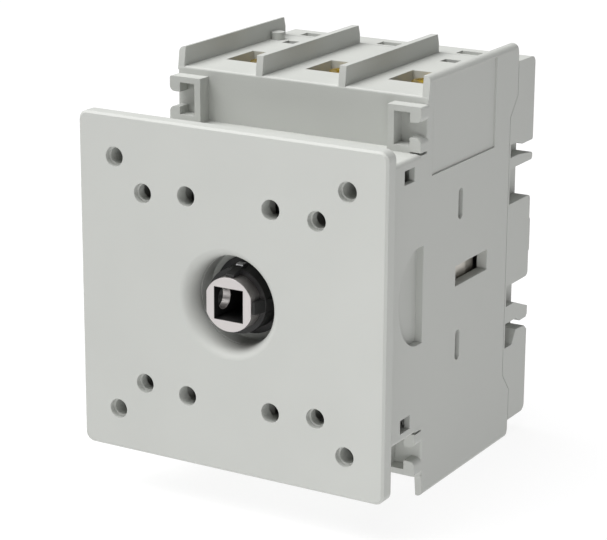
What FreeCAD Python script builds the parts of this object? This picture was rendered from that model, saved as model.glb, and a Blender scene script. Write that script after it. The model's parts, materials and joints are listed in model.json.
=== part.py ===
import FreeCAD, Part
import math
import os

from FreeCAD import Vector

# Three pole switch disconnector for mounting behind a panel. Sizes are in millimetres.
# Origin: centre of the front plate's front face. X runs to the right, Y runs from the plate
# to the back of the switch, Z runs up. The load side below mirrors the line side above.

# Front plate
plate_side = 90.0
plate_thickness = 4.0
plate_corner_radius = 2.5
plate_edge_chamfer = 0.6
screw_circle_outer = 68.0
screw_circle_inner = 51.0
screw_hole_radius = 2.15
screw_entry_radius = 2.6
screw_entry_depth = 1.6
screw_hole_end = 12.6
nut_pocket_width = 7.2
screw_post_half = 5.2
pin_hole_spacing_x = 24.8
pin_hole_spacing_z = 53.0
pin_hole_radius = 2.6
pin_window_half = 3.0
funnel_mouth_radius = 14.6
funnel_throat_radius = 11.9
funnel_depth = 5.3
funnel_rim_radius = 13.5
funnel_rim_rear = 6.0
tongue_offset = 29.0
tongue_half_length = 4.0
tongue_half_thickness = 1.2
tongue_reach = 3.0
tongue_root = 1.0

# Overall form
body_width = 75.0
collar_height = 74.4
body_height = 102.4
cover_depth = 10.0
cover_wall = 3.5
cover_boss_wall = 1.5
body_front = 35.0
contact_space = 13.3
base_depth = 10.7
seam_step = 4.3
seam_bend_high = 42.0
seam_bend_low = 36.6
seam_gap = 0.25
side_wall = 3.0
collar_wall = 2.4
body_wall = 3.0
form_edge_radius = 0.6
fit_gap = 0.3
slip = 0.05

# Poles, barriers and terminal windows
pole_pitch = 24.7
pole_count = 3
partition_thickness = 2.0
rib_height = 5.1
rib_lean = 0.8
rib_round = 1.5
window_width = 12.4
window_front = 48.6
window_rear = 62.4
small_slot_left = -5.6
small_slot_right = -1.0
small_slot_front = 76.7
small_slot_rear = 80.3
stud_radius = 1.9
stud_height = 2.1
stud_x = -33.9
stud_y = 80.5

# Bearing wall between the collar and the contact chambers
bearing_wall_front = 31.0
bearing_wall_rear = 34.5
bearing_boss_front = 28.0
bearing_boss_radius = 13.0

# Brackets that take add-on parts, at the four corners of the collar
bracket_front = 31.0
bracket_inner_x = 27.9
bracket_top = 49.2
bracket_round = 1.5
bracket_pocket_left = 29.8
bracket_pocket_right = 34.3
bracket_pocket_low = 39.0
bracket_pocket_high = 47.6
bracket_notch_low = 41.1
bracket_notch_high = 45.1
slit_height = 0.6
slit_margin = 0.5

# Features of the side walls
snap_window_front = 22.7
snap_window_rear = 28.0
snap_window_low = 31.0
snap_window_high = 34.7
snap_relief_depth = 1.4
snap_relief_margin = 1.5
snap_arm_thickness = 2.0
snap_hook_length = 1.8
snap_hook_reach = 1.7
obround_y = 54.3
obround_width = 2.5
obround_low = 15.2
obround_high = 23.6
link_window_front = 52.2
link_window_rear = 71.0
link_window_height = 5.6
label_recess_depth = 0.4
label_front = 37.6
label_rear = 73.8
label_low = 30.4
label_high = 54.8
grip_depth = 2.0
grip_chord_y = 33.7
grip_curve_y = 31.3
grip_front_y = 20.8
grip_half_height = 13.0

# Driving socket and cam hub
socket_radius = 7.1
socket_flat = 6.55
socket_square = 8.5
socket_front = 0.2
socket_rear = 19.9
socket_bore_radius = 3.0
socket_bore_y = 5.0
hub_radius = 10.3
bearing_clearance = 0.08
bearing_front = 11.0
nose_front = 4.3
nose_radius = 8.6
key_front = 0.9
key_rear = 7.6
key_top_width = 2.4
key_side_width = 3.3
key_front_height = 0.7
key_rear_radius = 9.4
cam_front = 14.6
cam_rear = 27.6
cam_size = 20.0
cam_corner_radius = 2.6
drum_rear = 49.0
drum_bore_radius = 5.4
drum_bore_front = 26.0
groove_depth = 2.5
switch_angle = 90.0
carrier_travel = 7.0
pin_off_y = 38.6

# Detent springs that rest on the square of the hub
leaf_thickness = 0.8
leaf_half_length = 31.0
leaf_front = 17.5
leaf_rear = 24.5
leaf_seat_inner_x = 28.5
leaf_seat_margin = 1.6

# Contact carrier
ring_front = 36.0
ring_clearance = 0.3
ring_wall = 2.8
carrier_front = 49.6
carrier_plate_rear = 52.2
bridge_slot_rear = 62.1
carrier_rear = 65.5
carrier_half_height = 7.5
carrier_side_gap = 0.4
carrier_run_out = 3.0
pin_radius = 2.0
driver_thickness = 2.6
driver_front = 49.9
driver_rear = 64.8
driver_half_height = 4.0
driver_tail_step = 0.5
driver_tail_rear = 70.4
driver_tail_half_height = 3.2
tang_half_thickness = 0.7
tang_half_width = 2.5
tang_length = 3.5
tang_front_y = 50.9
tang_rear_y = 63.8
tang_root = 0.5

# Contacts
contact_width = 10.4
contact_thickness = 2.5
bridge_front = 59.3
bridge_half_length = 15.0
tip_thickness = 1.2
tip_low = 9.5
tip_high = 14.5
tip_width = 6.0
pad_under_z = 34.5
pad_front = 51.0
leg_end_z = 9.0
spring_strip = 0.6
spring_width = 8.0
spring_half_length = 6.4
shelf_front = 64.0
shelf_low_z = 17.0

# Cage terminals
terminal_y = 58.2
cage_half_depth = 4.4
cage_side_gap = 0.2
cage_wall_x = 1.5
cage_bar = 2.1
cage_top = 47.4
screw_head_radius = 4.0
screw_head_top = 49.8
screw_shank_radius = 2.4
screw_tip_z = 41.5
screw_root = 0.5

# Rear base, with the depths of its side outline measured forward from the rear face
base_core_gap = 1.5
base_core_half_z = 31.0
base_core_inset = 1.0
base_core_wall = 3.0
base_pocket_half_z = 33.0
base_floor_step = 1.0
entry_half_width = 5.5
entry_low = 36.4
entry_high = 45.6
base_slot_left = -7.0
base_slot_right = -0.5
base_slot_start = 9.0
base_slot_end = 5.0
base_slot_depth = 2.2
base_corner_radius = 2.0
block_low_z = 27.8
block_foot_z = 28.9
block_neck = 6.8
block_foot = 9.4
finger_high_z = 25.3
finger_tip_z = 24.2
finger_low_z = 22.2
finger_root = 9.0
finger_round = 0.9
bulge_high_z = 12.2
bulge_low_z = -11.2
bulge_inset = 0.5
bulge_round = 1.4
ridge_high_z = 5.0
ridge_low_z = -3.7
tab_high_z = -17.0
tab_tip_high_z = -20.2
tab_tip_low_z = -22.6
tab_lip_z = -23.4
tab_low_z = -22.0
tab_root = 8.7
tab_lip_inset = 0.8
tab_throat = 4.8
tab_neck = 7.1
heel_foot_z = -29.1
heel_waist_z = -25.3
heel_lip_z = -25.7
heel_low_z = -27.1
heel_foot = 9.5
heel_waist = 7.0
heel_lip = 1.7
prop_half_width = 2.5
prop_low = 22.0
prop_high = 30.0
base_screw_x = 12.35
base_screw_z = 45.0
base_screw_radius = 1.5
base_screw_head_radius = 2.7
base_screw_head_height = 2.5
base_screw_slot_half = 0.4
base_screw_slot_depth = 0.9
base_screw_seat = 4.7
base_screw_length = 22.0
base_post_half = 3.0
base_post_length = 21.3

# Worked out from the sizes above
half_width = body_width / 2
half_collar = collar_height / 2
half_body = body_height / 2
inner_x = half_width - side_wall
carrier_half_length = inner_x - carrier_side_gap - driver_thickness
inner_collar_z = half_collar - collar_wall
inner_body_z = half_body - body_wall
rib_top = half_body + rib_height
cover_rear = plate_thickness + cover_depth
cover_wall_rear = plate_thickness + cover_wall
partition_x = pole_pitch / 2
bearing_radius = hub_radius + bearing_clearance
ring_inner_radius = hub_radius + ring_clearance
ring_outer_radius = ring_inner_radius + ring_wall
bridge_rear = bridge_front + contact_thickness
tip_face_open = bridge_rear + tip_thickness
tip_face_closed = tip_face_open + carrier_travel
fixed_tip_face = tip_face_closed + fit_gap
bridge_slot_half = contact_width / 2 + fit_gap
leg_front = fixed_tip_face + tip_thickness
leg_rear = leg_front + contact_thickness
pad_top_z = pad_under_z + contact_thickness
seam_y = leg_rear + contact_space
seam_low_y = seam_y - seam_step
rib_rear = seam_y - rib_lean
depth = seam_y + base_depth
base_floor_y = seam_low_y + base_floor_step
base_core_half = inner_x - base_core_gap
base_core_rear = depth - base_core_inset
base_pocket_half_x = base_core_half - base_core_wall
base_pocket_rear = base_core_rear - base_core_wall
base_screw_seat_y = seam_y + base_screw_seat
pole_centres = [pole_pitch * (index - (pole_count - 1) / 2) for index in range(pole_count)]
far = 300.0


def box(x_low, x_high, y_low, y_high, z_low, z_high):
    """A block between two corners."""
    return Part.makeBox(x_high - x_low, y_high - y_low, z_high - z_low, Vector(x_low, y_low, z_low))


def rod_y(radius, x, z, y_low, y_high):
    """A round rod along Y."""
    return Part.makeCylinder(radius, y_high - y_low, Vector(x, y_low, z), Vector(0, 1, 0))


def rod_x(radius, y, z, x_low, x_high):
    """A round rod along X."""
    return Part.makeCylinder(radius, x_high - x_low, Vector(x_low, y, z), Vector(1, 0, 0))


def rod_z(radius, x, y, z_low, z_high):
    """A round rod along Z."""
    return Part.makeCylinder(radius, z_high - z_low, Vector(x, y, z_low), Vector(0, 0, 1))


def flip_z(shape):
    """The same form on the load side."""
    return shape.mirror(Vector(0, 0, 0), Vector(0, 0, 1))


def flip_x(shape):
    """The same form on the other side wall."""
    return shape.mirror(Vector(0, 0, 0), Vector(1, 0, 0))


def both_z(shape):
    return [shape, flip_z(shape)]


def both_x(shape):
    return [shape, flip_x(shape)]


def four_ways(shape):
    return both_z(shape) + both_z(flip_x(shape))


def two_corners(shape):
    """The given form and the one at the opposite corner, seen from the front."""
    return [shape, flip_x(flip_z(shape))]


def outline_wire(points):
    """A closed outline of (across, up, corner radius) points, with arcs at its rounded corners."""
    edges = []
    starts = []
    for index, (across, up, radius) in enumerate(points):
        here = Vector(across, up, 0)
        before = Vector(points[index - 1][0], points[index - 1][1], 0)
        after_point = points[(index + 1) % len(points)]
        after = Vector(after_point[0], after_point[1], 0)
        back = (before - here).normalize()
        ahead = (after - here).normalize()
        if radius == 0:
            starts.append((here, here))
            continue
        half_angle = back.getAngle(ahead) / 2
        reach = radius / math.tan(half_angle)
        middle_way = (back + ahead).normalize()
        centre = here + middle_way * (radius / math.sin(half_angle))
        first = here + back * reach
        last = here + ahead * reach
        edges.append(Part.Arc(first, centre - middle_way * radius, last).toShape())
        starts.append((first, last))
    for index, (first, last) in enumerate(starts):
        following = starts[(index + 1) % len(starts)][0]
        edges.append(Part.makeLine(last, following))
    return Part.Wire(Part.__sortEdges__(edges))


def side_extrusion(points, x_low, x_high):
    """An outline of (y, z, corner radius) points, extruded along X."""
    face = Part.Face(outline_wire(points))
    solid = face.extrude(Vector(0, 0, x_high - x_low))
    solid.rotate(Vector(0, 0, 0), Vector(1, 1, 1), 120)
    solid.translate(Vector(x_low, 0, 0))
    return solid


def front_extrusion(points, y_low, y_high):
    """An outline of (x, z, corner radius) points, extruded along Y."""
    face = Part.Face(outline_wire(points))
    solid = face.extrude(Vector(0, 0, y_high - y_low))
    solid.rotate(Vector(0, 0, 0), Vector(1, 0, 0), 90)
    solid.translate(Vector(0, y_high, 0))
    return solid


def rounded_slab(half_x, half_z, radius, y_low, y_high):
    """A rectangular slab across Y with rounded corners."""
    corners = [(-half_x, -half_z, radius), (half_x, -half_z, radius)]
    corners += [(half_x, half_z, radius), (-half_x, half_z, radius)]
    return front_extrusion(corners, y_low, y_high)


def round_edges(shape, radius, chosen):
    """Rounds the edges whose middle point is chosen."""
    edges = []
    for edge in shape.Edges:
        middle = edge.valueAt((edge.FirstParameter + edge.LastParameter) / 2)
        if chosen(middle):
            edges.append(edge)
    return shape.makeFillet(radius, edges)


def near(value, target):
    return abs(value - target) < 0.01


def fused(shapes):
    """One solid made of all the given ones."""
    return shapes[0].fuse(shapes[1:]).removeSplitter()


def save(name, shape):
    shape.exportStep(os.path.join("parts", name + ".step"))


def screw_places(spacing):
    half = spacing / 2
    return [(x, z) for x in (-half, half) for z in (-half, half)]


def funnel():
    """The space of the bell mouth that leads a handle's collar to the driving socket."""
    mouth = Vector(funnel_mouth_radius, 0, 0)
    throat = Vector(funnel_throat_radius, funnel_depth, 0)
    centre = Vector(funnel_mouth_radius, funnel_depth, 0)
    path = [Part.Arc(Part.Ellipse(mouth, throat, centre), 0, math.pi / 2).toShape()]
    corners = [throat, Vector(funnel_throat_radius, bearing_front, 0), Vector(0, bearing_front, 0)]
    corners += [Vector(0, -1, 0), Vector(funnel_mouth_radius, -1, 0), mouth]
    for first, last in zip(corners, corners[1:]):
        path.append(Part.makeLine(first, last))
    return Part.Face(Part.Wire(path)).revolve(Vector(0, 0, 0), Vector(0, 1, 0), 360)


def tongues(play, reach):
    """The four locating tongues of the front plate, or their slots when play is added."""
    long_half = tongue_half_length + play
    thin_half = tongue_half_thickness + play
    low = tongue_offset - thin_half
    high = tongue_offset + thin_half
    upper = box(-long_half, long_half, plate_thickness - tongue_root, plate_thickness + reach, low, high)
    right = box(low, high, plate_thickness - tongue_root, plate_thickness + reach, -long_half, long_half)
    return both_z(upper) + both_x(right)


def pin_places():
    half_x = pin_hole_spacing_x / 2
    half_z = pin_hole_spacing_z / 2
    return [(x, z) for x in (-half_x, half_x) for z in (-half_z, half_z)]


def front_plate():
    """Square plate with its screw and pin holes and the funnel round the driving socket."""
    half = plate_side / 2
    plate = rounded_slab(half, half, plate_corner_radius, 0, plate_thickness)
    front_edges = [edge for edge in plate.Edges if near(edge.BoundBox.YMax, 0)]
    plate = plate.makeChamfer(plate_edge_chamfer, front_edges)
    rim = rod_y(funnel_rim_radius, 0, 0, 1, funnel_rim_rear)
    plate = fused([plate, rim] + tongues(0, tongue_reach))
    cuts = [funnel()]
    for spacing in (screw_circle_outer, screw_circle_inner):
        for x, z in screw_places(spacing):
            cuts.append(rod_y(screw_hole_radius, x, z, -1, plate_thickness + 1))
            cuts.append(rod_y(screw_entry_radius, x, z, -1, screw_entry_depth))
    for x, z in pin_places():
        cuts.append(rod_y(pin_hole_radius, x, z, -1, plate_thickness + 1))
    return plate.cut(cuts)


def snap_arm():
    """Arm of the latch cover with its hook, on the line side at the right."""
    arm_outer = inner_x - fit_gap
    arm_inner = arm_outer - snap_arm_thickness
    arm_low = snap_window_low + fit_gap
    arm_high = inner_collar_z - fit_gap
    hook_front = snap_window_front + fit_gap
    hook_rear = hook_front + snap_hook_length
    hook_reach = inner_x + snap_hook_reach
    outline = [(-arm_inner, cover_rear - 1, 0), (-arm_inner, hook_rear, 0), (-arm_outer, hook_rear, 0)]
    outline += [(-hook_reach, hook_front + snap_hook_length / 2, 0), (-hook_reach, hook_front, 0)]
    outline += [(-arm_outer, hook_front, 0), (-arm_outer, cover_rear - 1, 0)]
    face = Part.Face(outline_wire(outline))
    solid = face.extrude(Vector(0, 0, arm_high - arm_low))
    solid.translate(Vector(0, 0, arm_low))
    return flip_x(solid)


def latch_cover():
    """Front moulding of the mechanism, with the front bearing, screw posts and snap arms."""
    cover = rounded_slab(half_width, half_collar, 1.2, plate_thickness, cover_rear)
    wall_rear = cover_wall_rear
    cover = cover.cut(box(-inner_x, inner_x, wall_rear, far, -inner_collar_z, inner_collar_z))
    recess_radius = funnel_rim_radius + fit_gap
    boss = rod_y(recess_radius + cover_boss_wall, 0, 0, wall_rear - 1, cover_rear)
    outer = screw_circle_outer / 2 - screw_post_half
    block = box(outer, half_width - 1, wall_rear - 1, cover_rear, outer, half_collar - 1)
    inner_low = screw_circle_inner / 2 - screw_post_half
    inner_high = screw_circle_inner / 2 + screw_post_half
    post = box(inner_low, inner_high, wall_rear - 1, cover_rear, inner_low, inner_high)
    cover = fused([cover, boss] + four_ways(block) + four_ways(post) + four_ways(snap_arm()))
    cuts = [rod_y(recess_radius, 0, 0, 0, funnel_rim_rear + fit_gap)]
    cuts += [funnel(), rod_y(bearing_radius, 0, 0, 0, far)]
    for x, z in screw_places(screw_circle_outer):
        cuts.append(rod_y(screw_hole_radius, x, z, 0, screw_hole_end))
    pocket_half = nut_pocket_width / 2
    for x, z in screw_places(screw_circle_inner):
        pocket = box(x - pocket_half, x + pocket_half, 0, screw_hole_end, z - pocket_half, z + pocket_half)
        cuts.append(pocket)
    half = pin_window_half
    for x, z in pin_places():
        cuts.append(box(x - half, x + half, 0, far, z - half, z + half))
    return cover.cut(cuts + tongues(slip, cover_wall + 1))


def rib(x_low, x_high, rounded_x=None):
    """Barrier rib between two poles on the line side."""
    outline = [(body_front, half_body - 1, 0), (rib_rear + rib_lean, half_body - 1, 0)]
    outline += [(rib_rear + rib_lean, half_body + rib_height / 2, 0), (rib_rear, rib_top, 0)]
    outline += [(body_front + rib_lean, rib_top, 0)]
    solid = side_extrusion(outline, x_low, x_high)
    if rounded_x is not None:
        solid = round_edges(
            solid, rib_round, lambda middle: near(middle.x, rounded_x) and near(middle.z, rib_top)
        )
    return solid


def ribs():
    half = partition_thickness / 2
    solids = [rib(x - half, x + half) for x in (-partition_x, partition_x)]
    solids.append(rib(half_width - partition_thickness, half_width, half_width))
    solids.append(rib(-half_width, -half_width + partition_thickness, -half_width))
    return solids


def bracket():
    """Corner bracket on the collar with its open pocket, on the line side at the right."""
    lip = bracket_pocket_right
    outline = [(bracket_inner_x, half_collar - 1, 0), (half_width, half_collar - 1, 0)]
    outline += [(half_width, bracket_notch_low, bracket_round), (lip, bracket_notch_low, 0)]
    outline += [(lip, bracket_pocket_low, 0), (bracket_pocket_left, bracket_pocket_low, 0)]
    outline += [(bracket_pocket_left, bracket_pocket_high, 0), (lip, bracket_pocket_high, 0)]
    outline += [(lip, bracket_notch_high, 0), (half_width, bracket_notch_high, bracket_round)]
    outline += [(half_width, bracket_top, form_edge_radius), (bracket_inner_x, bracket_top, 0)]
    return front_extrusion(outline, bracket_front, body_front + 1)


def bracket_slit():
    """Narrow slit between the bracket and the collar."""
    slit_low = half_collar - slit_height / 2
    return box(inner_x, far, bracket_front, body_front - slit_margin, slit_low, slit_low + slit_height)


def side_wall_cuts():
    """Windows, slots and the grip recess of the right side wall."""
    window = box(inner_x - 1, far, snap_window_front, snap_window_rear, snap_window_low, snap_window_high)
    cuts = both_z(window)
    margin = snap_relief_margin
    relief = box(
        inner_x - 1, inner_x + snap_relief_depth, snap_window_front - margin, snap_window_rear + margin,
        snap_window_low - margin, inner_collar_z
    )
    cuts += both_z(relief)
    half = obround_width / 2
    slot = box(inner_x - 1, far, obround_y - half, obround_y + half, obround_low + half, obround_high - half)
    ends = [rod_x(half, obround_y, z, inner_x - 1, far) for z in (obround_low + half, obround_high - half)]
    cuts += both_z(fused([slot] + ends))
    half = link_window_height / 2
    cuts.append(box(inner_x - 1, far, link_window_front, link_window_rear, -half, half))
    cuts.append(grip_recess())
    return cuts


def grip_recess():
    """Shallow recess for the fingers, straight at the rear and half an ellipse at the front."""
    floor_x = half_width - grip_depth
    centre = Vector(floor_x, grip_curve_y, 0)
    top = Vector(floor_x, grip_curve_y, grip_half_height)
    front = Vector(floor_x, grip_front_y, 0)
    half_ellipse = Part.Arc(Part.Ellipse(top, front, centre), 0, math.pi).toShape()
    bottom = Vector(floor_x, grip_curve_y, -grip_half_height)
    top_rear = Vector(floor_x, grip_chord_y, grip_half_height)
    bottom_rear = Vector(floor_x, grip_chord_y, -grip_half_height)
    path = [half_ellipse, Part.makeLine(bottom, bottom_rear)]
    path.append(Part.makeLine(bottom_rear, top_rear))
    path.append(Part.makeLine(top_rear, top))
    return Part.Face(Part.Wire(path)).extrude(Vector(far, 0, 0))


def housing_outside():
    """Collar, main body, ribs and brackets as one solid form."""
    collar = rounded_slab(half_width, half_collar, 1.2, cover_rear, body_front + 1)
    body = box(-half_width, half_width, body_front, seam_y, -half_body, half_body)
    body = round_edges(body, form_edge_radius, lambda middle: near(middle.y, body_front))
    stud = rod_z(stud_radius, stud_x, stud_y, half_body - 1, half_body + stud_height)
    solids = [collar, body, stud] + four_ways(bracket())
    for solid in ribs():
        solids += both_z(solid)
    outside = fused(solids)
    rear = [(seam_low_y, -seam_bend_low, 0), (seam_y, -seam_bend_high, 0), (far, -seam_bend_high, 0)]
    rear += [(far, seam_bend_high, 0), (seam_y, seam_bend_high, 0), (seam_low_y, seam_bend_low, 0)]
    return outside.cut(side_extrusion(rear, -far, far))


def housing_hollow():
    """Space for the mechanism in the collar and for the contacts in the body."""
    collar = box(-inner_x, inner_x, 0, bearing_wall_front, -inner_collar_z, inner_collar_z)
    middle = box(-inner_x, inner_x, bearing_wall_rear, far, -inner_collar_z, inner_collar_z)
    tall = box(-inner_x, inner_x, body_front + body_wall, far, -inner_body_z, inner_body_z)
    return [collar, middle, tall]


def housing_insides():
    """Partitions, contact shelves, screw posts, bearing boss and spring seats."""
    half = partition_thickness / 2
    solids = [rod_y(bearing_boss_radius, 0, 0, bearing_boss_front, bearing_wall_front + 1)]
    for x in (-partition_x, partition_x):
        for front, high in ((bearing_wall_rear - 1, inner_collar_z + 1), (body_front + 1, inner_body_z + 1)):
            solids.append(box(x - half, x + half, front, seam_low_y, -high, high))
    reach = inner_x + 1
    shelf = box(-reach, reach, shelf_front, leg_front - fit_gap, shelf_low_z, pad_under_z - fit_gap)
    solids += both_z(shelf)
    post_low = base_screw_z - base_post_half
    post = box(
        base_screw_x - base_post_half, base_screw_x + base_post_half, seam_y - base_post_length,
        seam_y + seam_gap, post_low, inner_body_z + 1
    )
    solids += four_ways(post)
    low = cam_size / 2 + fit_gap - leaf_seat_margin
    seat = box(
        leaf_seat_inner_x, inner_x + 1, leaf_front - leaf_seat_margin, leaf_rear + leaf_seat_margin,
        low, low + leaf_thickness + 2 * leaf_seat_margin
    )
    solids += four_ways(seat)
    return solids


def housing():
    """The moulded case: collar, three pole chambers, ribs, brackets and side walls."""
    case = housing_outside().cut(housing_hollow())
    case = fused([case] + housing_insides())
    slot_half = carrier_half_height + carrier_side_gap
    slot_rear = carrier_rear + carrier_travel + carrier_run_out
    cuts = [box(-inner_x, inner_x, bearing_wall_rear, slot_rear, -slot_half, slot_half)]
    cuts.append(rod_y(bearing_radius, 0, 0, 0, bearing_wall_rear + 1))
    leaf_low = cam_size / 2 + fit_gap
    groove = box(
        -leaf_half_length - slip, leaf_half_length + slip, leaf_front - slip, leaf_rear + slip,
        leaf_low - slip, leaf_low + leaf_thickness + slip
    )
    cuts += both_z(groove)
    cuts += four_ways(bracket_slit())
    for solid in side_wall_cuts():
        cuts += both_x(solid)
    for centre in pole_centres:
        half = window_width / 2
        window = box(centre - half, centre + half, window_front, window_rear, inner_body_z - 0.5, far)
        cuts += both_z(window)
    for centre in (pole_centres[0], pole_centres[-1]):
        slot = box(
            centre + small_slot_left, centre + small_slot_right, small_slot_front, small_slot_rear,
            inner_body_z - 0.5, far
        )
        cuts += both_z(slot)
    cuts.append(box(half_width - label_recess_depth, far, label_front, label_rear, label_low, label_high))
    hole_front = base_screw_seat_y - base_screw_length - 1
    cuts += two_corners(rod_y(base_screw_radius + slip, base_screw_x, base_screw_z, hole_front, far))
    return case.cut(cuts)


def upper_block():
    """Outline of the base's upper block and its locking finger, as (y, z, corner radius) points."""
    points = [(base_floor_y, block_foot_z, 0), (depth - block_foot, block_foot_z, 0)]
    points += [(depth - block_neck, block_low_z, 0), (depth, block_low_z, form_edge_radius)]
    points += [(depth, half_body, base_corner_radius), (seam_y + seam_gap, half_body, 0)]
    points += [(seam_y + seam_gap, seam_bend_high, 0), (seam_low_y + seam_gap, seam_bend_low, 0)]
    finger = [(base_floor_y, finger_low_z, 0), (depth, finger_low_z, finger_round)]
    finger += [(depth, finger_tip_z, finger_round), (depth - finger_root, finger_high_z, 0)]
    finger += [(base_floor_y, finger_high_z, 0)]
    return finger + points


def middle_bulge():
    """Outline of the shallow bulge between the two blocks, with its low ridge."""
    top = depth - bulge_inset
    points = [(base_floor_y, bulge_low_z, 0), (top, bulge_low_z, bulge_round)]
    points += [(top, ridge_low_z - bulge_inset, 0), (depth, ridge_low_z, 0)]
    points += [(depth, ridge_high_z, 0), (top, ridge_high_z + bulge_inset, 0)]
    points += [(top, bulge_high_z, bulge_round), (base_floor_y, bulge_high_z, 0)]
    return points


def lower_block():
    """Outline of the base's lower block with its heel, and of the hooked tab beside it."""
    points = [(seam_low_y + seam_gap, -seam_bend_low, 0), (seam_y + seam_gap, -seam_bend_high, 0)]
    points += [(seam_y + seam_gap, -half_body, 0), (depth, -half_body, base_corner_radius)]
    points += [(depth, heel_low_z, 0), (depth - heel_lip, heel_lip_z, 0)]
    points += [(depth - heel_waist, heel_waist_z, 0), (depth - heel_foot, heel_foot_z, 0)]
    points += [(base_floor_y, heel_foot_z, 0)]
    tab = [(base_floor_y, tab_low_z, 0), (depth - tab_neck, tab_low_z, 0), (depth - tab_throat, tab_lip_z, 0)]
    tab += [(depth - tab_lip_inset, tab_lip_z, 0), (depth, tab_tip_low_z, 0), (depth, tab_tip_high_z, 0)]
    tab += [(depth - tab_root, tab_high_z, 0), (base_floor_y, tab_high_z, 0)]
    return points + tab


def rear_base():
    """Rear moulding with wire entries, grown out of its side outline."""
    outline = lower_block() + middle_bulge() + upper_block()
    base = side_extrusion(outline, -half_width, half_width)
    core_half_z = base_core_half_z
    core_front = base_floor_y - base_floor_step / 2
    core = box(-base_core_half, base_core_half, core_front, base_core_rear, -core_half_z, core_half_z)
    base = fused([base, core])
    pocket = box(
        -base_pocket_half_x, base_pocket_half_x, 0, base_pocket_rear, -base_pocket_half_z, base_pocket_half_z
    )
    base = base.cut(pocket)
    props = []
    for centre in pole_centres:
        prop = box(
            centre - prop_half_width, centre + prop_half_width, leg_rear + fit_gap, base_pocket_rear + 1,
            prop_low, prop_high
        )
        props += both_z(prop)
    base = fused([base] + props)
    cuts = []
    for centre in pole_centres:
        entry = box(centre - entry_half_width, centre + entry_half_width, 0, far, entry_low, entry_high)
        cuts += both_z(entry)
        slot = box(
            centre + base_slot_left, centre + base_slot_right, depth - base_slot_start, depth - base_slot_end,
            half_body - base_slot_depth, far
        )
        cuts += both_z(slot)
    head_room = base_screw_head_radius + 0.4
    cuts += two_corners(rod_y(base_screw_radius + slip, base_screw_x, base_screw_z, 0, far))
    cuts += two_corners(rod_y(head_room, base_screw_x, base_screw_z, base_screw_seat_y, far))
    return base.cut(cuts)


def base_screws():
    """Two screws, at opposite corners, that hold the rear base to the housing."""
    screw_front = base_screw_seat_y - base_screw_length
    shank = rod_y(base_screw_radius, base_screw_x, base_screw_z, screw_front, base_screw_seat_y + 0.5)
    head_rear = base_screw_seat_y + base_screw_head_height
    head = rod_y(base_screw_head_radius, base_screw_x, base_screw_z, base_screw_seat_y, head_rear)
    slot_low = base_screw_z - base_screw_slot_half
    slot_high = base_screw_z + base_screw_slot_half
    slot = box(0, far, head_rear - base_screw_slot_depth, far, slot_low, slot_high)
    return Part.makeCompound(two_corners(fused([shank, head]).cut(slot)))


def flatted_rod(radius, flat, y_low, y_high):
    """A round rod with a flat on its left and right."""
    rod = rod_y(radius, 0, 0, y_low, y_high)
    return rod.common(box(-flat, flat, y_low - 1, y_high + 1, -far, far))


def cross_bore():
    """Hole for a securing screw, through the left wall of the sleeve and of the hub's nose."""
    return rod_x(socket_bore_radius, socket_bore_y, 0, -far, 0)


def drive_socket():
    """Metal sleeve that takes the handle's square shaft."""
    sleeve = flatted_rod(socket_radius, socket_flat, socket_front, socket_rear)
    half = socket_square / 2
    return sleeve.cut([box(-half, half, -1, far, -half, half), cross_bore()])


def hub_key(width, base_radius):
    """Tapered key that runs forward along the sleeve, before it is turned into place."""
    outline = [(key_front, base_radius, 0), (key_rear, base_radius, 0), (key_rear, key_rear_radius, 0)]
    outline += [(key_front, base_radius + key_front_height, 0)]
    return side_extrusion(outline, -width / 2, width / 2)


def groove(start_angle):
    """Left handed cam groove of a quarter turn with round ends, cut deeper than its round floor."""
    full_turn_lead = carrier_travel * 360.0 / switch_angle
    radius = hub_radius
    helix = Part.makeHelix(full_turn_lead, carrier_travel, radius, 0, True)
    half = pin_radius + fit_gap
    slope = math.atan2(full_turn_lead, 2 * math.pi * radius)
    axial = half / math.cos(slope)
    cut_depth = groove_depth + 0.5
    corners = [(-cut_depth, -axial), (1.5, -axial), (1.5, axial), (-cut_depth, axial)]
    points = [Vector(radius + across, 0, up) for across, up in corners]
    profile = Part.makePolygon(points + points[:1])
    sweep = Part.Wire(helix.Edges).makePipeShell([profile], True, True)
    sweep.rotate(Vector(0, 0, 0), Vector(1, 0, 0), -90)
    sweep.translate(Vector(0, pin_off_y, 0))
    inner = radius - cut_depth
    first = rod_x(half, pin_off_y, 0, inner, radius + 1.5)
    last = rod_z(half, 0, pin_off_y + carrier_travel, inner, radius + 1.5)
    solids = [sweep, first, last]
    for solid in solids:
        solid.rotate(Vector(0, 0, 0), Vector(0, 1, 0), start_angle)
    return solids


def drive_hub():
    """Cam hub: nose with keys, bearing journal, square detent cam and drum with two helical grooves."""
    half = cam_size / 2
    square = rounded_slab(half, half, cam_corner_radius, cam_front, cam_rear)
    top_key = hub_key(key_top_width, socket_radius + slip)
    side_key = hub_key(key_side_width, socket_flat + slip)
    side_key.rotate(Vector(0, 0, 0), Vector(0, 1, 0), 90)
    journal_front = bearing_front - fit_gap
    nose = rod_y(nose_radius, 0, 0, nose_front, journal_front + 1)
    hub = fused([rod_y(hub_radius, 0, 0, journal_front, drum_rear), nose, square, top_key, side_key])
    for solid in groove(0) + groove(180):
        hub = hub.cut(solid)
    core = rod_y(hub_radius - groove_depth, 0, 0, cam_rear - 1, drum_rear)
    hub = fused([hub, core])
    cuts = [flatted_rod(socket_radius + slip, socket_flat + slip, -1, socket_rear + slip)]
    cuts += [rod_y(drum_bore_radius, 0, 0, drum_bore_front, far), cross_bore()]
    return hub.cut(cuts)


def detent_spring():
    """Leaf spring above the square of the hub."""
    low = cam_size / 2 + fit_gap
    return box(-leaf_half_length, leaf_half_length, leaf_front, leaf_rear, low, low + leaf_thickness)


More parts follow.
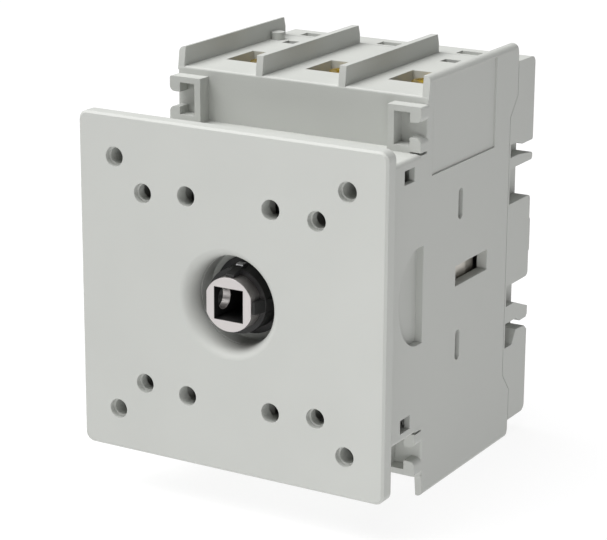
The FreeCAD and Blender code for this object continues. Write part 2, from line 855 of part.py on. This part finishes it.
def contact_carrier():
    """Crossbar that carries the three bridges, with the ring round the cam drum."""
    half = carrier_half_height
    bar = box(-carrier_half_length, carrier_half_length, carrier_front, carrier_rear, -half, half)
    ring = rod_y(ring_outer_radius, 0, 0, ring_front, carrier_plate_rear)
    carrier = fused([bar, ring])
    cuts = [rod_y(ring_inner_radius, 0, 0, 0, carrier_front)]
    for centre in pole_centres:
        cuts.append(
            box(
                centre - bridge_slot_half, centre + bridge_slot_half, carrier_plate_rear, bridge_slot_rear,
                -far, far
            )
        )
    for tang in tangs(slip):
        cuts += both_x(tang)
    cuts += both_x(rod_x(pin_radius + slip, pin_off_y, 0, 0, far))
    return carrier.cut(cuts)


def cam_pin():
    """Steel pin of the carrier that runs in the right groove of the drum."""
    inner = hub_radius - groove_depth + fit_gap + 0.1
    return rod_x(pin_radius, pin_off_y, 0, inner, ring_outer_radius + 0.3)


def tangs(play):
    """The two tangs that hold a driver plate in the carrier, or their slots when play is added."""
    thin_half = tang_half_thickness + play
    wide_half = tang_half_width + play
    x_low = carrier_half_length - tang_length - play
    x_high = carrier_half_length + tang_root
    solids = []
    for y in (tang_front_y, tang_rear_y):
        solids.append(box(x_low, x_high, y - thin_half, y + thin_half, -wide_half, wide_half))
    return solids


def auxiliary_driver():
    """Steel plate on the carrier's end, reached through the window of the side wall."""
    half = driver_half_height
    tail_half = driver_tail_half_height
    x_low = carrier_half_length
    x_high = x_low + driver_thickness
    plate = box(x_low, x_high, driver_front, driver_rear, -half, half)
    tail = box(x_low, x_high - driver_tail_step, driver_rear - 1, driver_tail_rear, -tail_half, tail_half)
    return fused([plate, tail] + tangs(0))


def contact_bridge(centre):
    """Moving copper bridge with a tip at each end."""
    half = contact_width / 2
    reach = bridge_half_length
    bar = box(centre - half, centre + half, bridge_front, bridge_rear, -reach, reach)
    half = tip_width / 2
    tip = box(centre - half, centre + half, bridge_rear - 0.1, tip_face_open, tip_low, tip_high)
    return fused([bar] + both_z(tip))


def contact_spring(centre):
    """Arched leaf spring that presses the bridge to the rear of its slot."""
    crown_y = carrier_plate_rear + fit_gap
    end_y = bridge_front - fit_gap
    rise = end_y - crown_y - spring_strip
    radius = (rise * rise + spring_half_length * spring_half_length) / (2 * rise)
    centre_y = crown_y + radius + spring_strip
    ring = Part.makeCylinder(radius + spring_strip, spring_width, Vector(0, centre_y, 0), Vector(1, 0, 0))
    hole = Part.makeCylinder(radius, spring_width, Vector(0, centre_y, 0), Vector(1, 0, 0))
    strip = ring.cut(hole).common(box(-1, far, 0, end_y, -spring_half_length, spring_half_length))
    strip.translate(Vector(centre - spring_width / 2, 0, 0))
    return strip


def fixed_contact(centre):
    """Line side contact: terminal pad, leg and tip bent from one copper strip."""
    outline = [(pad_front, pad_under_z, 0), (leg_front, pad_under_z, 0), (leg_front, leg_end_z, 0)]
    outline += [(leg_rear, leg_end_z, 0), (leg_rear, pad_top_z, contact_thickness * 0.8)]
    outline += [(pad_front, pad_top_z, 0)]
    strip = side_extrusion(outline, centre - contact_width / 2, centre + contact_width / 2)
    half = tip_width / 2
    tip = box(centre - half, centre + half, fixed_tip_face, leg_front + 0.1, tip_low, tip_high)
    return fused([strip, tip])


def terminal_cage(centre):
    """Steel cage that lifts the wire against the pad when its screw is turned."""
    half = contact_width / 2 + cage_side_gap
    low = pad_under_z - 0.1 - cage_bar
    outer = box(
        centre - half - cage_wall_x, centre + half + cage_wall_x, terminal_y - cage_half_depth,
        terminal_y + cage_half_depth, low, cage_top
    )
    window = box(centre - half, centre + half, 0, far, pad_under_z - 0.1, cage_top - cage_bar)
    hole = rod_z(screw_shank_radius + slip, centre, terminal_y, pad_top_z, far)
    return outer.cut([window, hole])


def terminal_screw(centre):
    """Cheese head screw of the terminal."""
    head = rod_z(screw_head_radius, centre, terminal_y, cage_top, screw_head_top)
    shank = rod_z(screw_shank_radius, centre, terminal_y, screw_tip_z, cage_top + screw_root)
    return fused([head, shank])


def build():
    os.makedirs("parts", exist_ok=True)
    save("front_plate", front_plate())
    save("latch_cover", latch_cover())
    save("housing", housing())
    save("rear_base", rear_base())
    save("base_screws", base_screws())
    save("drive_socket", drive_socket())
    save("drive_hub", drive_hub())
    save("detent_spring_upper", detent_spring())
    save("detent_spring_lower", flip_z(detent_spring()))
    save("contact_carrier", contact_carrier())
    save("cam_pin_right", cam_pin())
    save("cam_pin_left", flip_x(cam_pin()))
    save("auxiliary_driver_right", auxiliary_driver())
    save("auxiliary_driver_left", flip_x(auxiliary_driver()))
    for number, centre in enumerate(pole_centres, 1):
        save("contact_bridge_" + str(number), contact_bridge(centre))
        save("contact_spring_" + str(number), contact_spring(centre))
        for side, place in (("line", lambda shape: shape), ("load", flip_z)):
            tail = "_" + side + "_" + str(number)
            save("fixed_contact" + tail, place(fixed_contact(centre)))
            save("terminal_cage" + tail, place(terminal_cage(centre)))
            save("terminal_screw" + tail, place(terminal_screw(centre)))


build()
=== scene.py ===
# %% [markdown]
# # A switch disconnector for a control panel
# This lesson dresses the CAD model of a three pole switch that is screwed behind a panel.
# Its pieces are already in place: the frame brings in every solid at its real size, in metres.
# What is left for Blender is the finish of each surface, the small forms that CAD leaves plain,
# and the light and the camera of a product photograph.

import json
import math

import bpy
from mathutils import Matrix, Vector


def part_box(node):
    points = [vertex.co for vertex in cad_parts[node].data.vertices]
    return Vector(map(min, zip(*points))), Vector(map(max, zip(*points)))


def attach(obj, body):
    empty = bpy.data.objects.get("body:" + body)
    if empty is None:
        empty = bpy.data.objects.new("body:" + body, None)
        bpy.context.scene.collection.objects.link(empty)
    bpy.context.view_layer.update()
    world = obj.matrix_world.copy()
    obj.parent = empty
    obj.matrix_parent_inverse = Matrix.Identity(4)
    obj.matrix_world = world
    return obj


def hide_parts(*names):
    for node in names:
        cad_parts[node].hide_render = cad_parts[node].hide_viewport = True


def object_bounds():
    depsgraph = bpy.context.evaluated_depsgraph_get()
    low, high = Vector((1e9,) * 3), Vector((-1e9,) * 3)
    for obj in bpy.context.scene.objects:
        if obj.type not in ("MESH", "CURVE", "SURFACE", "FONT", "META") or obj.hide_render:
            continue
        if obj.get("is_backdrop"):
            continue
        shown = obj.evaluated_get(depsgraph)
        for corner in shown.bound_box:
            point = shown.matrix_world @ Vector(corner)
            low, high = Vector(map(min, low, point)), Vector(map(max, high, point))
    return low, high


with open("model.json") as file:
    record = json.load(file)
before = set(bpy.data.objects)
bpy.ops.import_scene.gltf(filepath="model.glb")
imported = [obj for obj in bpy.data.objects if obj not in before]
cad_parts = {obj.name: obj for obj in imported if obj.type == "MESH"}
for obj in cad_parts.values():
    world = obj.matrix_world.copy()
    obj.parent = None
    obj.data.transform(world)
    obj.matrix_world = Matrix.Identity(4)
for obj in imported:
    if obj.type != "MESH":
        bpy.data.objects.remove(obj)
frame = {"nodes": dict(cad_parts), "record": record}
nodes = frame["nodes"]
subparts = frame["record"]["subparts"]
cad_low, cad_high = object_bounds()
MM = 0.001
print("pieces from CAD:", len(nodes))

# %% [markdown]
# ## The camera
# The photograph looks at the front plate from the right and a little above, from about six times
# the object's height away, so lines that run back converge only slightly. A long lens does that.
# The camera's place and direction were found by fitting the plate's corners and holes.

# %% Camera
PHOTO_WIDTH = 607
FOCAL_PIXELS = 2287.6
SENSOR = 36.0
camera_place = Vector((293.1, -463.6, 173.0)) * MM
camera_looks = Vector((-0.4838, 0.8271, -0.2861))
camera_roll = math.radians(0.33)

camera_data = bpy.data.cameras.new("photo_camera")
camera_data.sensor_width = SENSOR
camera_data.lens = FOCAL_PIXELS * SENSOR / PHOTO_WIDTH
camera_data.dof.use_dof = False
camera = bpy.data.objects.new("photo_camera", camera_data)
bpy.context.scene.collection.objects.link(camera)
aim = camera_looks.to_track_quat("-Z", "Y").to_matrix().to_4x4()
roll = Matrix.Rotation(camera_roll, 4, "Z")
camera.matrix_world = Matrix.Translation(camera_place) @ aim @ roll
camera_data.clip_start = 0.01
camera_data.clip_end = 20.0
bpy.context.scene.camera = camera
print("lens of", round(camera_data.lens, 1), "mm")

# %% [markdown]
# ## Floor and light
# The product floats on pure white in the photograph, so the table is lit from inside: its surface
# gives off most of its light itself, and a shadow on it almost disappears. One wide soft box hangs
# above to the left, so the side wall on the right stays darker than the plate. A small one stands
# low in front of the object, close to it, and brightens the plate's lower right corner the most.

# %% Floor
FLOOR_SIZE = 6.0
FLOOR_WHITE = (0.18, 0.18, 0.18)
FLOOR_GLOW = 0.86

bpy.ops.object.select_all(action="DESELECT")
bpy.ops.mesh.primitive_plane_add(size=FLOOR_SIZE, location=(0, 0, cad_low.z))
floor = bpy.context.object
floor.name = "floor"
bpy.ops.object.transform_apply(location=True, rotation=False, scale=False)
floor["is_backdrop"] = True
floor_paint = bpy.data.materials.new("white_table")
floor_paint.use_nodes = True
floor_shader = floor_paint.node_tree.nodes["Principled BSDF"]
floor_shader.inputs["Base Color"].default_value = (*FLOOR_WHITE, 1)
floor_shader.inputs["Roughness"].default_value = 0.9
floor_shader.inputs["Specular IOR Level"].default_value = 0.1
floor_shader.inputs["Emission Color"].default_value = (1.0, 1.0, 1.0, 1)
floor_shader.inputs["Emission Strength"].default_value = FLOOR_GLOW
floor.data.materials.append(floor_paint)
print("floor at", round(cad_low.z / MM, 1), "mm")


# %% Lights
def soft_light(name, place, looks_at, width, height, power):
    """A rectangular soft box that faces a point."""
    data = bpy.data.lights.new(name, "AREA")
    data.shape = "RECTANGLE"
    data.size = width
    data.size_y = height
    data.energy = power
    lamp = bpy.data.objects.new(name, data)
    bpy.context.scene.collection.objects.link(lamp)
    lamp.location = Vector(place)
    lamp.rotation_euler = (Vector(looks_at) - Vector(place)).to_track_quat("-Z", "Y").to_euler()


TENT_STRENGTH = 0.185
switch_middle = (0.0, 0.045, 0.0)
soft_light("overhead_box", (-0.45, -0.25, 1.3), switch_middle, 1.5, 1.5, power=34.0)
soft_light("low_front_box", (0.18, -0.24, -0.03), switch_middle, 0.2, 0.08, power=0.22)

world = bpy.data.worlds.new("light_tent")
world.use_nodes = True
background = world.node_tree.nodes["Background"]
background.inputs["Color"].default_value = (1.0, 1.0, 1.0, 1)
background.inputs["Strength"].default_value = TENT_STRENGTH
bpy.context.scene.world = world
bpy.context.scene.view_settings.view_transform = "Standard"
print("two soft boxes and a light tent")

# %% [markdown]
# ## Materials
# Every finish is a small node tree that reads Object coordinates, so its grain has a real size and
# stays with the piece when it moves. A helper starts each one with its shader. The others add a
# fine grain in its bump and a soft broad change in its colour and its roughness, because no
# moulded or rolled surface is perfectly even.


# %% A helper that starts a finish
def finish(name, colour, roughness, metallic=0.0, specular=0.5):
    """A new material. Returns it with its node tree, its shader and the Object coordinates."""
    material = bpy.data.materials.new(name)
    material.use_nodes = True
    tree = material.node_tree
    shader = tree.nodes["Principled BSDF"]
    shader.inputs["Base Color"].default_value = (*colour, 1)
    shader.inputs["Roughness"].default_value = roughness
    shader.inputs["Metallic"].default_value = metallic
    shader.inputs["Specular IOR Level"].default_value = specular
    place = tree.nodes.new("ShaderNodeTexCoord")
    return material, tree, shader, place.outputs["Object"]


# %% Helpers for grain and colour
def noise(tree, place, size_mm, detail=2.0):
    """A noise whose grains are about size_mm across."""
    node = tree.nodes.new("ShaderNodeTexNoise")
    node.inputs["Scale"].default_value = 1.0 / (size_mm * MM)
    node.inputs["Detail"].default_value = detail
    tree.links.new(place, node.inputs["Vector"])
    return node.outputs["Fac"]


NOISE_LOW, NOISE_HIGH = 0.3, 0.7


def spread(tree, value, low, high):
    """Maps a noise, most of which lies between two known values, to a range."""
    node = tree.nodes.new("ShaderNodeMapRange")
    node.inputs["From Min"].default_value = NOISE_LOW
    node.inputs["From Max"].default_value = NOISE_HIGH
    node.inputs["To Min"].default_value = low
    node.inputs["To Max"].default_value = high
    tree.links.new(value, node.inputs["Value"])
    return node.outputs["Result"]


def tint(tree, value, first, second):
    """A colour between two, by a value from 0 to 1. Each is a colour or another node's output."""
    node = tree.nodes.new("ShaderNodeMix")
    node.data_type = "RGBA"
    for socket, colour in ((6, first), (7, second)):
        if isinstance(colour, tuple):
            node.inputs[socket].default_value = (*colour, 1)
        else:
            tree.links.new(colour, node.inputs[socket])
    tree.links.new(value, node.inputs[0])
    return node.outputs[2]


def grain(tree, shader, value, depth_mm, edge_mm=0.0):
    """Bump of a real depth, over edges that are rounded off by edge_mm."""
    bump = tree.nodes.new("ShaderNodeBump")
    bump.inputs["Distance"].default_value = depth_mm * MM
    tree.links.new(value, bump.inputs["Height"])
    if edge_mm:
        edge = tree.nodes.new("ShaderNodeBevel")
        edge.samples = 4
        edge.inputs["Radius"].default_value = edge_mm * MM
        tree.links.new(edge.outputs["Normal"], bump.inputs["Normal"])
    tree.links.new(bump.outputs["Normal"], shader.inputs["Normal"])


# %% A helper that picks a region by its place
def calculate(tree, operation, *values):
    """One math node. A value may be a number or another node's output."""
    node = tree.nodes.new("ShaderNodeMath")
    node.operation = operation
    for socket, value in zip(node.inputs, values):
        if isinstance(value, (int, float)):
            socket.default_value = value
        else:
            tree.links.new(value, socket)
    return node.outputs[0]


def region(tree, place, spans):
    """1 inside a box, else 0. spans gives its ends in millimetres, low then high, by axis."""
    split = tree.nodes.new("ShaderNodeSeparateXYZ")
    tree.links.new(place, split.inputs[0])
    inside = None
    for axis, (low, high) in spans.items():
        middle, half = (low + high) / 2 * MM, (high - low) / 2 * MM
        within = calculate(tree, "COMPARE", split.outputs[axis], middle, half)
        inside = within if inside is None else calculate(tree, "MULTIPLY", inside, within)
    return inside


# %% [markdown]
# ### Moulded plastics
# The case is a glass filled polyamide: light grey, nearly neutral, with a fine spark eroded grain
# from the mould. The hub is the same kind of plastic in black and smoother, since it has to slide.


# %% Plastics
CLOUD_MM = 22.0


def moulded_plastic(name, colour, roughness, grain_mm, depth_mm, edge_mm):
    """A plastic with a fine grain, and faint clouds in its colour and its roughness."""
    material, tree, shader, place = finish(name, colour, roughness, specular=0.4)
    clouds = noise(tree, place, CLOUD_MM)
    darker = tuple(value * 0.985 for value in colour)
    lighter = tuple(min(1.0, value * 1.015) for value in colour)
    colours = tint(tree, spread(tree, clouds, 0.0, 1.0), darker, lighter)
    roughnesses = spread(tree, clouds, roughness - 0.04, roughness + 0.04)
    tree.links.new(colours, shader.inputs["Base Color"])
    tree.links.new(roughnesses, shader.inputs["Roughness"])
    grain(tree, shader, noise(tree, place, grain_mm, 3.0), depth_mm, edge_mm)
    return material


grey_plastic = moulded_plastic("grey_plastic", (0.53, 0.54, 0.515), 0.55, 0.25, 0.012, 0.25)
black_plastic = moulded_plastic("black_plastic", (0.018, 0.018, 0.018), 0.38, 0.3, 0.006, 0.15)
dark_plastic = moulded_plastic("dark_plastic", (0.06, 0.052, 0.046), 0.5, 0.25, 0.012, 0.2)
print("three plastics")

# %% [markdown]
# ### Metals
# Screws and cages are plated, springs are polished strip. The metal helper takes an optional
# region with a colour of its own: the contacts are rolled copper with real silver tips, and the
# square hole of the sintered steel sleeve is painted near black without shine, as painted shade.
# region with a colour of its own, because some pieces carry two finishes: the contacts are rolled
# copper with silver tips, and the sleeve is sintered steel whose square hole has stayed black.


# %% Metals
STAIN_MM = 6.0
METAL_EDGE_MM = 0.12


def plain_metal(name, colour, roughness, grain_mm, depth_mm, spans=None, inside=None, shine=1.0):
    """A metal with fine grain. Within spans its colour is inside and its metallic value shine."""
    material, tree, shader, place = finish(name, colour, roughness, metallic=1.0)
    stains = noise(tree, place, STAIN_MM)
    darker = tuple(value * 0.93 for value in colour)
    colours = tint(tree, spread(tree, stains, 0.0, 1.0), darker, colour)
    if spans:
        chosen = region(tree, place, spans)
        colours = tint(tree, chosen, colours, inside)
        metallic = calculate(tree, "MULTIPLY_ADD", chosen, shine - 1.0, 1.0)
        tree.links.new(metallic, shader.inputs["Metallic"])
    roughnesses = spread(tree, stains, roughness - 0.05, roughness + 0.07)
    tree.links.new(colours, shader.inputs["Base Color"])
    tree.links.new(roughnesses, shader.inputs["Roughness"])
    grain(tree, shader, noise(tree, place, grain_mm, 4.0), depth_mm, METAL_EDGE_MM)
    return material


# %% Regions with a colour of their own: real silver tips, and painted shade in the sleeve's hole
SOCKET_HALF = 4.3
FIXED_TIPS_HALF_SPAN = 15.0
SILVER = (0.86, 0.85, 0.82)
# Painted shade: near black with no shine, put on the walls of the sleeve's square hole in place of
# their metal.
HOLE_SHADE = (0.012, 0.012, 0.012)

bridge_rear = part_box("contact_bridge_2")[1].y / MM
hole = {0: (-SOCKET_HALF, SOCKET_HALF), 2: (-SOCKET_HALF, SOCKET_HALF)}
moving_tips = {1: (bridge_rear - 1.2, bridge_rear + 0.1)}
fixed_tips = {
    1: (bridge_rear + 7.0, bridge_rear + 8.5),
    2: (-FIXED_TIPS_HALF_SPAN, FIXED_TIPS_HALF_SPAN),
}
print("the bridges' tips end at Y", round(bridge_rear, 2))

# %% The metals of the switch
COPPER = (0.80, 0.42, 0.25)

# The sleeve: within its square hole the colour is the painted shade and the metallic value is
# nought.
sintered_metal = plain_metal(
    "sintered_metal", (0.66, 0.63, 0.62), 0.42, 0.35, 0.01, hole, HOLE_SHADE, shine=0.0
)
zinc_steel = plain_metal("zinc_steel", (0.63, 0.60, 0.55), 0.36, 0.5, 0.006)
cage_steel = plain_metal("cage_steel", (0.60, 0.57, 0.48), 0.34, 0.5, 0.006)
spring_steel = plain_metal("spring_steel", (0.50, 0.50, 0.51), 0.26, 0.8, 0.003)
brass = plain_metal("brass", (0.86, 0.60, 0.10), 0.26, 0.4, 0.005)
copper_moving = plain_metal("copper_moving", COPPER, 0.34, 0.6, 0.004, moving_tips, SILVER)
copper_fixed = plain_metal("copper_fixed", COPPER, 0.34, 0.6, 0.004, fixed_tips, SILVER)
print("seven metals")

# %% Give the CAD pieces their finish
FINISHES = {
    "grey_plastic": grey_plastic, "black_plastic": black_plastic, "dark_plastic": dark_plastic,
    "sintered_metal": sintered_metal, "zinc_steel": zinc_steel, "cage_steel": cage_steel,
    "spring_steel": spring_steel, "brass": brass, "copper": copper_fixed,
}
for part in subparts:
    piece = nodes[part["node"]]
    moving = part["node"].startswith("contact_bridge")
    piece.data.materials.clear()
    piece.data.materials.append(copper_moving if moving else FINISHES[part["material_slot"]])
print("finishes given to", len(subparts), "pieces")

# %% [markdown]
# ## Screws
# CAD gives every terminal a plain screw: a round head on a round shank. One better screw is
# modelled here at the origin with its axis along Z, and it then takes the place of the plain ones.
# Small helpers come first. They choose what the next mesh tool works on, and apply a modifier.


# %% Helpers for modelling
def nothing_selected():
    """Leaves edit mode and clears the selection, so the next tool touches only what is new."""
    if bpy.context.mode != "OBJECT":
        bpy.ops.object.mode_set(mode="OBJECT")
    bpy.ops.object.select_all(action="DESELECT")


def clear_choice(piece, kind):
    """Sets what kind of element is picked, clears the choice and leaves edit mode."""
    bpy.context.view_layer.objects.active = piece
    if bpy.context.mode != "EDIT_MESH":
        bpy.ops.object.mode_set(mode="EDIT")
    bpy.ops.mesh.select_mode(type=kind)
    bpy.ops.mesh.select_all(action="DESELECT")
    bpy.ops.object.mode_set(mode="OBJECT")


def pick_faces(piece, wanted):
    """Edit mode, with the faces selected whose centre and normal the test accepts."""
    clear_choice(piece, "FACE")
    for polygon in piece.data.polygons:
        polygon.select = wanted(polygon.center, polygon.normal)
    bpy.ops.object.mode_set(mode="EDIT")


def pick_edges(piece, wanted):
    """Edit mode, with the edges selected of which the test accepts both ends."""
    clear_choice(piece, "EDGE")
    points = piece.data.vertices
    for edge in piece.data.edges:
        edge.select = all(wanted(points[index].co) for index in edge.vertices)
    bpy.ops.object.mode_set(mode="EDIT")


def apply_modifier(piece, kind, **settings):
    """Adds a modifier to a piece, sets it up and applies it."""
    nothing_selected()
    bpy.context.view_layer.objects.active = piece
    piece.select_set(True)
    modifier = piece.modifiers.new(kind.lower(), kind)
    for name, value in settings.items():
        setattr(modifier, name, value)
    bpy.ops.object.modifier_apply(modifier=modifier.name)


# %% [markdown]
# ### Head and thread
# The head starts as a short cylinder. Its lower face is drawn in to the width of the shank, and the
# thread is pulled out of it step by step: down and out to a crest, then down and in to a root.

# %% Screw blank
screw_low, screw_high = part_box("terminal_screw_line_2")
HEAD_RADIUS = (screw_high.x - screw_low.x) / 2
HEAD_HEIGHT = 2.4 * MM
SHANK_RADIUS = 2.38 * MM
ROOT_RADIUS = 1.95 * MM
THREAD_PITCH = 0.8 * MM
LEAST_NECK = 0.2 * MM
POINT_LENGTH = 0.4 * MM
POINT_TAPER = 0.75
shank_length = screw_high.z - HEAD_HEIGHT - screw_low.z
turns = int((shank_length - LEAST_NECK - POINT_LENGTH) / THREAD_PITCH)
neck_length = shank_length - turns * THREAD_PITCH - POINT_LENGTH

nothing_selected()
bpy.ops.mesh.primitive_cylinder_add(
    vertices=48, radius=HEAD_RADIUS, depth=HEAD_HEIGHT, location=(0, 0, -HEAD_HEIGHT / 2)
)
screw = bpy.context.object
screw.name = "terminal_screw"
bpy.ops.object.transform_apply(location=True, rotation=False, scale=False)
pick_faces(screw, lambda point, normal: normal.z < -0.9)
bpy.ops.mesh.inset(thickness=HEAD_RADIUS - ROOT_RADIUS)


def pull(distance, radius_now, radius_next):
    """Extrudes the selected end of the screw downwards and changes its radius."""
    factor = radius_next / radius_now
    bpy.ops.mesh.extrude_region_move(TRANSFORM_OT_translate={"value": (0, 0, -distance)})
    bpy.ops.transform.resize(value=(factor, factor, 1.0), center_override=(0, 0, 0))


pull(neck_length, ROOT_RADIUS, ROOT_RADIUS)
for crest in range(turns):
    pull(THREAD_PITCH * 0.4, ROOT_RADIUS, SHANK_RADIUS)
    pull(THREAD_PITCH * 0.2, SHANK_RADIUS, SHANK_RADIUS)
    pull(THREAD_PITCH * 0.4, SHANK_RADIUS, ROOT_RADIUS)
pull(POINT_LENGTH, ROOT_RADIUS, ROOT_RADIUS * POINT_TAPER)
print("thread with", turns, "crests")

# %% Head with a rounded rim and a dished top
TOUCH = 0.01 * MM
UPPER_ROUND, LOWER_ROUND = 0.3 * MM, 0.12 * MM
RIM_WIDTH, DISH_SLOPE, DISH_DEPTH = 0.9 * MM, 0.3 * MM, 0.15 * MM


def on_upper_rim(point):
    return point.z > -TOUCH


def on_lower_rim(point):
    return abs(point.z + HEAD_HEIGHT) < TOUCH and point.xy.length > HEAD_RADIUS - TOUCH


def on_top_disc(point, normal):
    return normal.z > 0.9 and point.z > -TOUCH and point.xy.length < 0.1 * MM


pick_edges(screw, on_upper_rim)
bpy.ops.mesh.bevel(offset=UPPER_ROUND, segments=3, affect="EDGES")
pick_edges(screw, on_lower_rim)
bpy.ops.mesh.bevel(offset=LOWER_ROUND, segments=2, affect="EDGES")
pick_faces(screw, on_top_disc)
bpy.ops.mesh.inset(thickness=RIM_WIDTH)
bpy.ops.mesh.inset(thickness=DISH_SLOPE, depth=-DISH_DEPTH)
nothing_selected()
print("screw blank has", len(screw.data.polygons), "faces")

# %% [markdown]
# ### Recess for the driver
# A terminal screw takes a cross driver or a flat one. The cutter is a cross: a cube whose four
# sides are pulled out into arms, with its lower end drawn in, because a driver's tip is tapered.

# %% Cross cutter
ARM_WIDTH = 1.1 * MM
ARM_REACH = 2.3 * MM
RECESS_DEPTH = 1.5 * MM
CUTTER_ABOVE = 1.0 * MM
TIP_TAPER = 0.62

nothing_selected()
bpy.ops.mesh.primitive_cube_add(size=1.0, location=(0, 0, (CUTTER_ABOVE - RECESS_DEPTH) / 2))
cutter = bpy.context.object
cutter.name = "cross_cutter"
cutter.scale = (ARM_WIDTH, ARM_WIDTH, RECESS_DEPTH + CUTTER_ABOVE)
bpy.ops.object.transform_apply(location=True, rotation=False, scale=True)
for axis, sign in ((0, 1), (0, -1), (1, 1), (1, -1)):
    pick_faces(cutter, lambda point, normal: normal[axis] * sign > 0.9)
    step = [0.0, 0.0, 0.0]
    step[axis] = sign * (ARM_REACH - ARM_WIDTH / 2)
    bpy.ops.mesh.extrude_region_move(TRANSFORM_OT_translate={"value": tuple(step)})
pick_faces(cutter, lambda point, normal: normal.z < -0.9)
bpy.ops.transform.resize(value=(TIP_TAPER, TIP_TAPER, 1.0), center_override=(0, 0, 0))
nothing_selected()
print("cutter spans", [round(value / MM, 1) for value in cutter.dimensions])

# %% Cut the cross and smooth the screw
SMOOTH_ANGLE = math.radians(35)

apply_modifier(screw, "BOOLEAN", operation="DIFFERENCE", solver="EXACT", object=cutter)
bpy.data.objects.remove(cutter, do_unlink=True)
nothing_selected()
screw.select_set(True)
bpy.context.view_layer.objects.active = screw
bpy.ops.object.shade_smooth_by_angle(angle=SMOOTH_ANGLE)
screw.data.materials.clear()
screw.data.materials.append(brass)
print("finished screw has", len(screw.data.polygons), "faces")

# %% [markdown]
# ### Six screws in their terminals
# Every terminal gets its own copy. The screws of the load side below are turned over, and each
# one is turned a little about its own axis too, since no two screws stop at the same angle.

# %% Place the terminal screws
STOPPED_AT = {"line_1": 20, "line_2": 64, "line_3": 38, "load_1": 75, "load_2": 12, "load_3": 50}


def rotate_selected(degrees, axis):
    """Turns what is selected about an axis through the origin."""
    bpy.ops.transform.rotate(
        value=math.radians(degrees), orient_axis=axis, center_override=(0, 0, 0)
    )


for terminal, degrees in STOPPED_AT.items():
    node = "terminal_screw_" + terminal
    low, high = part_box(node)
    copy = screw.copy()
    copy.data = screw.data.copy()
    copy.name = "screw_" + terminal
    bpy.context.scene.collection.objects.link(copy)
    nothing_selected()
    copy.select_set(True)
    bpy.context.view_layer.objects.active = copy
    rotate_selected(degrees, "Z")
    top = high.z
    if terminal.startswith("load"):
        rotate_selected(180, "X")
        top = low.z
    bpy.ops.transform.translate(value=((low.x + high.x) / 2, (low.y + high.y) / 2, top))
    bpy.ops.object.transform_apply(location=True, rotation=True, scale=True)
    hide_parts(node)
    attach(copy, "switch_body")
bpy.data.objects.remove(screw, do_unlink=True)
print("terminal screws placed:", len(STOPPED_AT))

# %% [markdown]
# ## The clip on the hub's upper key
# A small bright clip grips the rear end of the key at twelve o'clock, and it turns with the hub.
# It starts as a flat grid with a strip for each ridge and each groove. The grid is pulled down into
# a plate, and every second strip is then pulled up.

# %% Key clip
CLIP_WIDTH = 2.0 * MM
CLIP_FRONT, CLIP_REAR = 5.4 * MM, 7.55 * MM
CLIP_LOW, CLIP_TOP = 8.8 * MM, 9.35 * MM
RIDGES = 4
RIDGE_HEIGHT = 0.14 * MM
RIDGE_ROUND = 0.04 * MM
strips = 2 * RIDGES + 1
strip_length = (CLIP_REAR - CLIP_FRONT) / strips

nothing_selected()
bpy.ops.mesh.primitive_grid_add(
    x_subdivisions=1, y_subdivisions=strips, size=1.0,
    location=(0, (CLIP_FRONT + CLIP_REAR) / 2, CLIP_TOP),
)
clip = bpy.context.object
clip.name = "key_clip"
clip.scale = (CLIP_WIDTH, CLIP_REAR - CLIP_FRONT, 1.0)
bpy.ops.object.transform_apply(location=True, rotation=False, scale=True)
pick_faces(clip, lambda point, normal: True)
bpy.ops.mesh.extrude_region_move(TRANSFORM_OT_translate={"value": (0, 0, CLIP_LOW - CLIP_TOP)})
bpy.ops.mesh.select_all(action="SELECT")
bpy.ops.mesh.normals_make_consistent(inside=False)


def on_ridge(point, normal):
    """Whether a face of the top lies on every second strip, counted from the front."""
    return normal.z > 0.9 and int((point.y - CLIP_FRONT) / strip_length) % 2 == 1


pick_faces(clip, on_ridge)
bpy.ops.mesh.extrude_region_move(TRANSFORM_OT_translate={"value": (0, 0, RIDGE_HEIGHT)})
apply_modifier(
    clip, "BEVEL", width=RIDGE_ROUND, segments=2, limit_method="ANGLE",
    angle_limit=math.radians(60),
)
bpy.ops.object.shade_smooth_by_angle(angle=SMOOTH_ANGLE)
clip.data.materials.clear()
clip.data.materials.append(spring_steel)
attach(clip, "rotor")
clip_size = [round(value / MM, 2) for value in clip.dimensions]
print("clip is", clip_size, "mm with", RIDGES, "ridges")

# %% Bounds of the dressed model
low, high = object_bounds()
